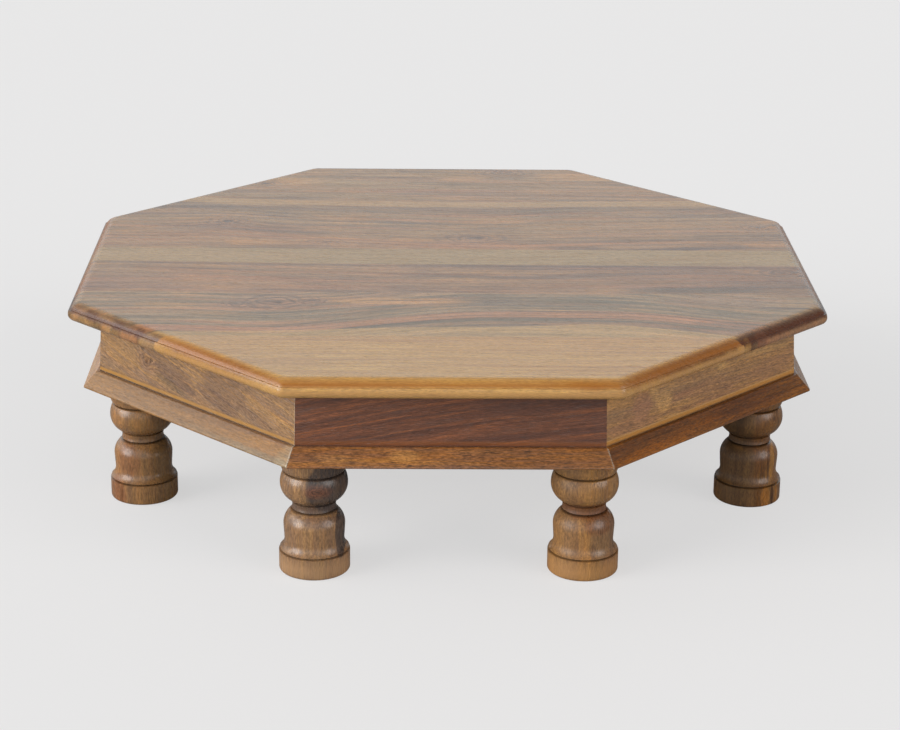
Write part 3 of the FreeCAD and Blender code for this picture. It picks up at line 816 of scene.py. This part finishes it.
legShape = {
    "footRadius": 0.0270, "footHeight": 0.0162, "footArris": 0.0022,
    "rimRadius": 0.0264, "coveHeight": 0.0079, "waistRadius": 0.0227,
    "bellyRadius": 0.0234, "bellyRise": 0.0116, "shoulderHeight": 0.0116, "shoulderRadius": 0.0177,
    "neckRadius": 0.0169, "neckHollow": 0.0005, "neckHeight": 0.0048,
    "ballFootRadius": 0.0172, "ballLowerHeight": 0.0135, "ballRadius": 0.0257,
    "ballUpperHeight": 0.0092, "ballTopRadius": 0.0235,
    "collarFootRadius": 0.0237, "collarRoundHeight": 0.0054, "collarRadius": 0.0253,
    "grooveWidth": 0.0017, "grooveDepth": 0.0014,
    "tenonRadius": 0.0095, "tenonLength": 0.0240, "legHeight": 0.0980, "spinSteps": 96, "smoothAngle": 42,
    "soleSteps": 5, "coveSteps": 10, "bellySteps": 12, "ballLowerSteps": 14, "ballUpperSteps": 9,
    "collarSteps": 6, "soleRing": 0.6, "lipSoft": 0.15, "grooveFloor": 0.08, "neckEase": 0.6,
}


def legOutline():
    s = legShape
    groove = s["grooveWidth"]
    rimZ = s["footHeight"] + groove
    waistZ = rimZ + s["coveHeight"]
    bellyZ = waistZ + s["bellyRise"]
    shoulderZ = bellyZ + s["shoulderHeight"]
    neckFootZ = shoulderZ + groove
    neckTopZ = neckFootZ + s["neckHeight"]
    ballFootZ = neckTopZ + groove
    ballZ = ballFootZ + s["ballLowerHeight"]
    ballTopZ = ballZ + s["ballUpperHeight"]
    collarFootZ = ballTopZ + groove
    collarZ = collarFootZ + s["collarRoundHeight"]

    def cut(lower, upper):
        # a small V with a slightly flat bottom and softened lips
        bottom = Vector((min(lower.x, upper.x) - s["grooveDepth"], (lower.y + upper.y) / 2))
        half = Vector((0, groove * s["grooveFloor"]))
        return [lower.lerp(bottom, s["lipSoft"]), bottom - half, bottom + half,
                upper.lerp(bottom, s["lipSoft"])]

    foot = Vector((s["footRadius"], s["footArris"]))
    sole = Vector((s["footRadius"] - s["footArris"], 0))
    footTop = Vector((s["footRadius"], s["footHeight"]))
    rim = Vector((s["rimRadius"], rimZ))
    waist = Vector((s["waistRadius"], waistZ))
    belly = Vector((s["bellyRadius"], bellyZ))
    shoulder = Vector((s["shoulderRadius"], shoulderZ))
    neckFoot, neckTop = Vector((s["neckRadius"], neckFootZ)), Vector((s["neckRadius"], neckTopZ))
    hollow = Vector((s["neckRadius"] - s["neckHollow"], (neckFootZ + neckTopZ) / 2))
    ballFoot = Vector((s["ballFootRadius"], ballFootZ))
    ball = Vector((s["ballRadius"], ballZ))
    ballTop = Vector((s["ballTopRadius"], ballTopZ))
    collarFoot = Vector((s["collarFootRadius"], collarFootZ))
    collar = Vector((s["collarRadius"], collarZ))
    points = [Vector((0, 0)), Vector((sole.x * s["soleRing"], 0)), sole]
    points += list(reversed(bend(foot, sole, down, s["soleSteps"])))[1:] + [foot]
    points += [foot.lerp(footTop, 0.5), footTop] + cut(footTop, rim)
    points += list(reversed(bend(waist, rim, down, s["coveSteps"]))) + [waist]
    points += [waist.lerp(belly, 0.5), belly] + bend(belly, shoulder, up, s["bellySteps"])
    points += cut(shoulder, neckFoot) + [neckFoot, neckFoot.lerp(hollow, s["neckEase"]), hollow,
                                         neckTop.lerp(hollow, s["neckEase"]), neckTop]
    points += cut(neckTop, ballFoot) + list(reversed(bend(ball, ballFoot, down, s["ballLowerSteps"])))
    points += [ball] + bend(ball, ballTop, up, s["ballUpperSteps"]) + cut(ballTop, collarFoot)
    points += list(reversed(bend(collar, collarFoot, down, s["collarSteps"]))) + [collar]
    tenonTop = s["legHeight"] + s["tenonLength"]
    points += [Vector((s["collarRadius"], s["legHeight"])), Vector((s["tenonRadius"], s["legHeight"])),
               Vector((s["tenonRadius"], tenonTop)), Vector((0, tenonTop))]
    return points


def turnLeg():
    bm = bmesh.new()
    verts = [bm.verts.new((p.x, 0, p.y)) for p in legOutline()]
    edges = [bm.edges.new(pair) for pair in zip(verts, verts[1:])]
    bmesh.ops.spin(bm, geom=verts + edges, cent=(0, 0, 0), axis=(0, 0, 1), dvec=(0, 0, 0),
                   angle=math.tau, steps=legShape["spinSteps"], use_merge=True, use_duplicate=False)
    return bm


# Dark lines in the turned grooves, partly dark stain worked into them and partly painted shade in these
# recesses; the last, wider entry darkens the hollow of the neck the same way
grooveStainAndShade = ((0.0170, 0.0011, "black", 0.6), (0.0498, 0.0014, "black", 0.75), (0.0563, 0.0011, "black", 0.5),
           (0.0807, 0.0013, "black", 0.75), (0.0531, 0.0040, "dark", 0.35))
footWear = (0.0070, 0.0125, "cork", 0.55)
legLooks = {
    "front_left": {
        "seed": 31.0, "hatch": 0.07, "ground": ("tan", "heart"), "red": 0.2, "dark": 0.45, "fine": 0.4,
        "line": 0.15, "flecks": 0.3, "tone": (0.82, 0.84, 0.84), "soft": 0.07, "warm": 0.3, "cool": 0.3,
        "knotTints": ("rust", "deep", "black"), "knotShares": (0.8, 0.9, 0.9),
        "knots": ((0.0225, 0.003, 0.0034, 0.0062, 0.006),), "heightLines": ((0.007, 0.0125, "cork", 0.7),),
        "patches": ((0.024, 0.0145, 0.024, 0.0185, "slate", 0.97),
            (0.022, -0.002, 0.014, 0.0035, "slate", 0.6), (-0.014, 0.0205, 0.02, 0.0042, "slate", 0.97),
            (0.0045, 0.0, 0.004, 0.03, "slate", 0.7), (-0.004, 0.004, 0.0035, 0.014, "dark", 0.5))},
    "front_right": {
        "seed": 32.5, "hatch": 0.07, "ground": ("olive", "tan"), "red": 0.1, "dark": 0.4, "fine": 0.3,
        "line": 0.15, "dull": ((0.0, -0.013, 0.09, 0.013, 0.22),), "flecks": 0.3,
        "tone": (0.88, 0.79, 0.56), "soft": 0.25, "warm": 0.3, "cool": 0.2, "heightLines": (footWear,),
        "knots": ((0.015, -0.0038, 0.0012, 0.0008, 0.002),), "knotShares": (0.6, 0.9, 0.95),
        "patches": ((-0.016, 0.0165, 0.017, 0.013, "grey", 0.9),
            (-0.004, 0.011, 0.009, 0.013, "wine", 0.75), (0.0045, 0.002, 0.006, 0.022, "wine", 0.9),
            (-0.041, 0.021, 0.012, 0.008, "plum", 0.6), (-0.014, 0.0215, 0.02, 0.003, "dark", 0.55),
            (-0.026, 0.006, 0.006, 0.0022, "dark", 0.7), (-0.006, 0.011, 0.006, 0.005, "dark", 0.4))},
    "left_front": {
        "seed": 33.7, "hatch": 0.07, "ground": ("olive", "heart"), "red": 0.2, "dark": 0.4, "fine": 0.3,
        "line": 0.15, "flecks": 0.3, "tone": (0.87, 0.8, 0.62), "warm": 0.3, "cool": 0.3, "soft": 0.3,
        "patches": ((-0.041, -0.02, 0.012, 0.006, "rust", 0.7),
            (-0.012, -0.01, 0.014, 0.008, "rust", 0.45), (-0.043, -0.0165, 0.009, 0.0016, "umber", 0.6),
            (0.02, 0.002, 0.008, 0.01, "gold", 0.3))},
    "right_front": {
        "seed": 34.2, "hatch": 0.07, "ground": ("grey", "olive"), "red": 0.3, "redTint": "rust",
        "dark": 0.6, "darkTint": "deep", "fine": 0.4, "line": 0.3, "flecks": 0.3,
        "tone": (0.7, 0.54, 0.27), "soft": 0.15, "knots": ((0.026, 0.016, 0.004, 0.003, 0.004),),
        "dull": ((0.0, -0.012, 0.09, 0.014, 0.3),),
        "patches": ((-0.005, -0.014, 0.06, 0.015, "dusk", 0.5),
            (-0.013, 0.017, 0.016, 0.0018, "pale", 0.75), (-0.041, 0.0115, 0.01, 0.0035, "orange", 0.6),
            (-0.041, 0.0175, 0.01, 0.0012, "deep", 0.9), (-0.041, 0.0215, 0.01, 0.0016, "gold", 0.7),
            (-0.013, 0.0135, 0.016, 0.001, "deep", 0.7), (0.01, 0.008, 0.03, 0.008, "wine", 0.3),
            (0.022, 0.006, 0.01, 0.014, "olive", 0.35))},
    "other": {
        "seed": 35.6, "ground": ("heart", "olive"), "red": 0.2, "dark": 0.4, "fine": 0.3, "line": 0.15,
        "flecks": 0.2, "tone": (0.8, 0.72, 0.58), "warm": 0.3, "cool": 0.3},
}


def makeLegs():
    for index, name in enumerate(cornerNames):
        low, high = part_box("leg_" + name)
        middle = (low + high) / 2
        bm = turnLeg()
        bmesh.ops.translate(bm, verts=bm.verts, vec=(middle.x, middle.y, 0))
        look = lookOf(legLooks, name, index)
        look = dict(look, heightLines=look.get("heightLines", ()) + grooveStainAndShade, tilt=0.0,
                    centre=(legShape["legHeight"] / 2, middle.x, middle.y))
        wood = sheesham("leg_wood_" + name, look, 0.0, ("Z", "X", "Y"))
        finishPiece("leg-" + name, bm, wood, "leg_" + name, legShape["smoothAngle"])


makeLegs()
print("legs turned")


# Pieces kept from the frame get their finishes

plainGrain = {"scale": 900.0, "detail": 3.0, "darker": 0.6, "low": 0.2, "high": 0.8, "spread": 0.1}


def plainFinish(name, colour, roughness, metallic):
    # A plain colour with a little fine mottle
    g = plainGrain
    material = bpy.data.materials.new(name)
    material.use_nodes = True
    tree = material.node_tree
    shader = tree.nodes["Principled BSDF"]
    coords = put(tree, "TexCoord").outputs["Object"]
    grain = put(tree, "TexNoise", {"Vector": coords, "Scale": g["scale"], "Detail": g["detail"]}).outputs[0]
    darker = tuple(c * g["darker"] for c in colour[:3]) + (1,)
    tree.links.new(blendColour(tree, grain, darker, colour), shader.inputs["Base Color"])
    rough = ramp(tree, grain, g["low"], g["high"], roughness - g["spread"], roughness + g["spread"])
    tree.links.new(rough, shader.inputs["Roughness"])
    shader.inputs["Metallic"].default_value = metallic
    return material


def dress(node, material):
    nodes[node].data.materials.clear()
    nodes[node].data.materials.append(material)


blockLook = {"seed": 41.0, "ground": ("tan", "sap"), "red": 0.1, "fine": 0.3, "line": 0.3, "roughness": 0.7}
# Small parts: colour, roughness, metallic, and the nodes that wear the finish
smallFinishes = {
    "zinc_steel": ((0.62, 0.57, 0.42, 1), 0.35, 1.0, ("block_screws", "batten_screws")),
    "brad_steel": ((0.50, 0.50, 0.50, 1), 0.35, 1.0, ("apron_brads", "moulding_brads")),
    "filler_wax": ((0.060, 0.035, 0.022, 1), 0.6, 0.0, ("brad_hole_fillers",)),
}
rawWood = sheesham("block_wood", blockLook)
for corner in cornerNames:
    dress("corner_block_" + corner, rawWood)
dress("cross_batten", rawWood)
for name, (colour, roughness, metallic, wearers) in smallFinishes.items():
    finish = plainFinish(name, colour, roughness, metallic)
    for node in wearers:
        dress(node, finish)
print("frame pieces dressed")


# Studio: pale floor, soft lights and the camera of the photograph

studio = {
    "floorSize": 60.0, "floorColour": (0.24, 0.236, 0.234, 1), "floorBounce": (0.40, 0.395, 0.39, 1),
    "floorGlow": 0.585, "floorTint": (1.0, 0.993, 0.992, 1),
    "horizon": (0.88, 1.06, 1.16, 1), "zenith": (0.33, 0.31, 0.30, 1), "skyLow": 0.45, "skyHigh": 0.75,
    "rightWall": (0.30, 0.28, 0.27, 1), "wallNear": 0.45, "wallFar": 0.80,
    "floorRoughness": 0.9, "lampDistance": 2, "lampColour": (1.0, 0.96, 0.94),
    # azimuth from the front, elevation and angular size in degrees, then strength
    "lamps": (("softLeft", -66, 18, 40, 2.6), ("softRight", 59, 21, 40, 1.3),
              ("softRim", -99, 26, 18, 0.26)),
}
cameraShape = {
    "place": (-0.03014, -1.92462, 0.76144), "yaw": 0.0176, "pitch": 0.3421, "roll": 0.0107,
    "focal": 2406.14, "imageWidth": 900.0, "sensor": 36.0,
}


def makeStudio():
    bm = bmesh.new()
    bmesh.ops.create_grid(bm, x_segments=1, y_segments=1, size=studio["floorSize"] / 2)
    mesh = bpy.data.meshes.new("floor")
    bm.to_mesh(mesh)
    bm.free()
    floor = bpy.data.objects.new("floor", mesh)
    bpy.context.scene.collection.objects.link(floor)
    paper = bpy.data.materials.new("floor_paper")
    paper.use_nodes = True
    shader = paper.node_tree.nodes["Principled BSDF"]
    shader.inputs["Roughness"].default_value = studio["floorRoughness"]
    shader.inputs["Specular IOR Level"].default_value = 0.0
    shader.inputs["Emission Color"].default_value = studio["floorTint"]
    # Seen directly the floor glows a little, which keeps it even; the table only gets its plain bounce
    seen = put(paper.node_tree, "LightPath").outputs["Is Camera Ray"]
    shade = blendColour(paper.node_tree, seen, studio["floorBounce"], studio["floorColour"])
    paper.node_tree.links.new(shade, shader.inputs["Base Color"])
    glow = sums(paper.node_tree, "MULTIPLY", seen, studio["floorGlow"])
    paper.node_tree.links.new(glow, shader.inputs["Emission Strength"])
    mesh.materials.append(paper)
    world = bpy.data.worlds.new("studio")
    world.use_nodes = True
    bpy.context.scene.world = world
    tree = world.node_tree
    sky = tree.nodes["Background"]
    way = put(tree, "SeparateXYZ", {0: put(tree, "TexCoord").outputs["Generated"]}).outputs
    rise = ramp(tree, way["Z"], studio["skyLow"], studio["skyHigh"])
    wall = blendColour(tree, ramp(tree, way["X"], studio["wallNear"], studio["wallFar"]),
                       studio["horizon"], studio["rightWall"])
    tree.links.new(blendColour(tree, rise, wall, studio["zenith"]), sky.inputs["Color"])
    for name, azimuth, elevation, spread, strength in studio["lamps"]:
        # Wide distant lamps: an even light with the soft highlight of a softbox
        lamp = bpy.data.lights.new(name, "SUN")
        lamp.angle = math.radians(spread)
        lamp.energy = strength
        lamp.color = studio["lampColour"]
        light = bpy.data.objects.new(name, lamp)
        turn, rise = math.radians(azimuth), math.radians(elevation)
        spot = Vector((math.sin(turn) * math.cos(rise), -math.cos(turn) * math.cos(rise), math.sin(rise)))
        light.location = spot * studio["lampDistance"]
        light.rotation_euler = (-spot).to_track_quat("-Z", "Y").to_euler()
        bpy.context.scene.collection.objects.link(light)


def makeCamera():
    c = cameraShape
    lens = bpy.data.cameras.new("photographCamera")
    camera = bpy.data.objects.new("photographCamera", lens)
    bpy.context.scene.collection.objects.link(camera)
    lens.sensor_width = c["sensor"]
    lens.lens = c["focal"] / c["imageWidth"] * c["sensor"]
    aim = Vector((math.sin(c["yaw"]) * math.cos(c["pitch"]), math.cos(c["yaw"]) * math.cos(c["pitch"]),
                  -math.sin(c["pitch"])))
    turn = aim.to_track_quat("-Z", "Y") @ Quaternion((0, 0, 1), c["roll"])
    camera.location = c["place"]
    camera.rotation_euler = turn.to_euler()
    bpy.context.scene.camera = camera


makeStudio()
makeCamera()
bpy.context.scene.view_settings.view_transform = "Standard"
print("studio and camera set")

bpy.context.view_layer.update()
